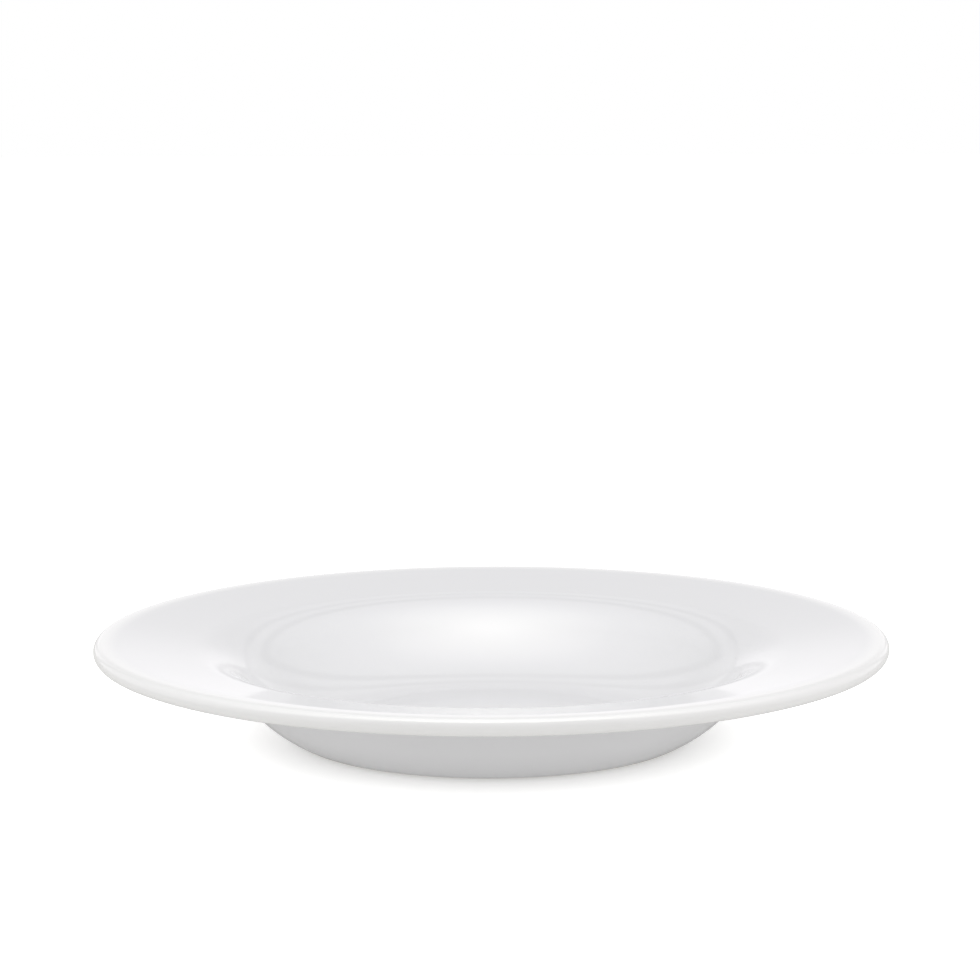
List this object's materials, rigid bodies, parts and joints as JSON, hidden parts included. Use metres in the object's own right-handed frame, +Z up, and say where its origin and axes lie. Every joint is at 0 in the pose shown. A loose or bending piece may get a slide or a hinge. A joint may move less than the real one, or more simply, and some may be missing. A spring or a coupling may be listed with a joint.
{
  "type": "soup plate",
  "caption": "Round white porcelain soup plate: a wide, gently rising rim with a rounded lip, a deep well for liquid food, and a bare foot ring to stand on.",
  "frame": {"origin": "centre of the foot ring, on the surface that the plate stands on", "axes": "+Z up along the plate's axis of symmetry"},
  "size_m": [0.23, 0.23, 0.03],
  "materials": {
    "biscuit": "bare fired porcelain, matt and faintly grainy",
    "glaze": "clear, high-gloss glaze over white porcelain"
  },
  "bodies": {
    "root": {"porcelain_body": "biscuit", "glaze_coat": "glaze", "foot_recess_glaze": "glaze"}
  },
  "joints": []
}
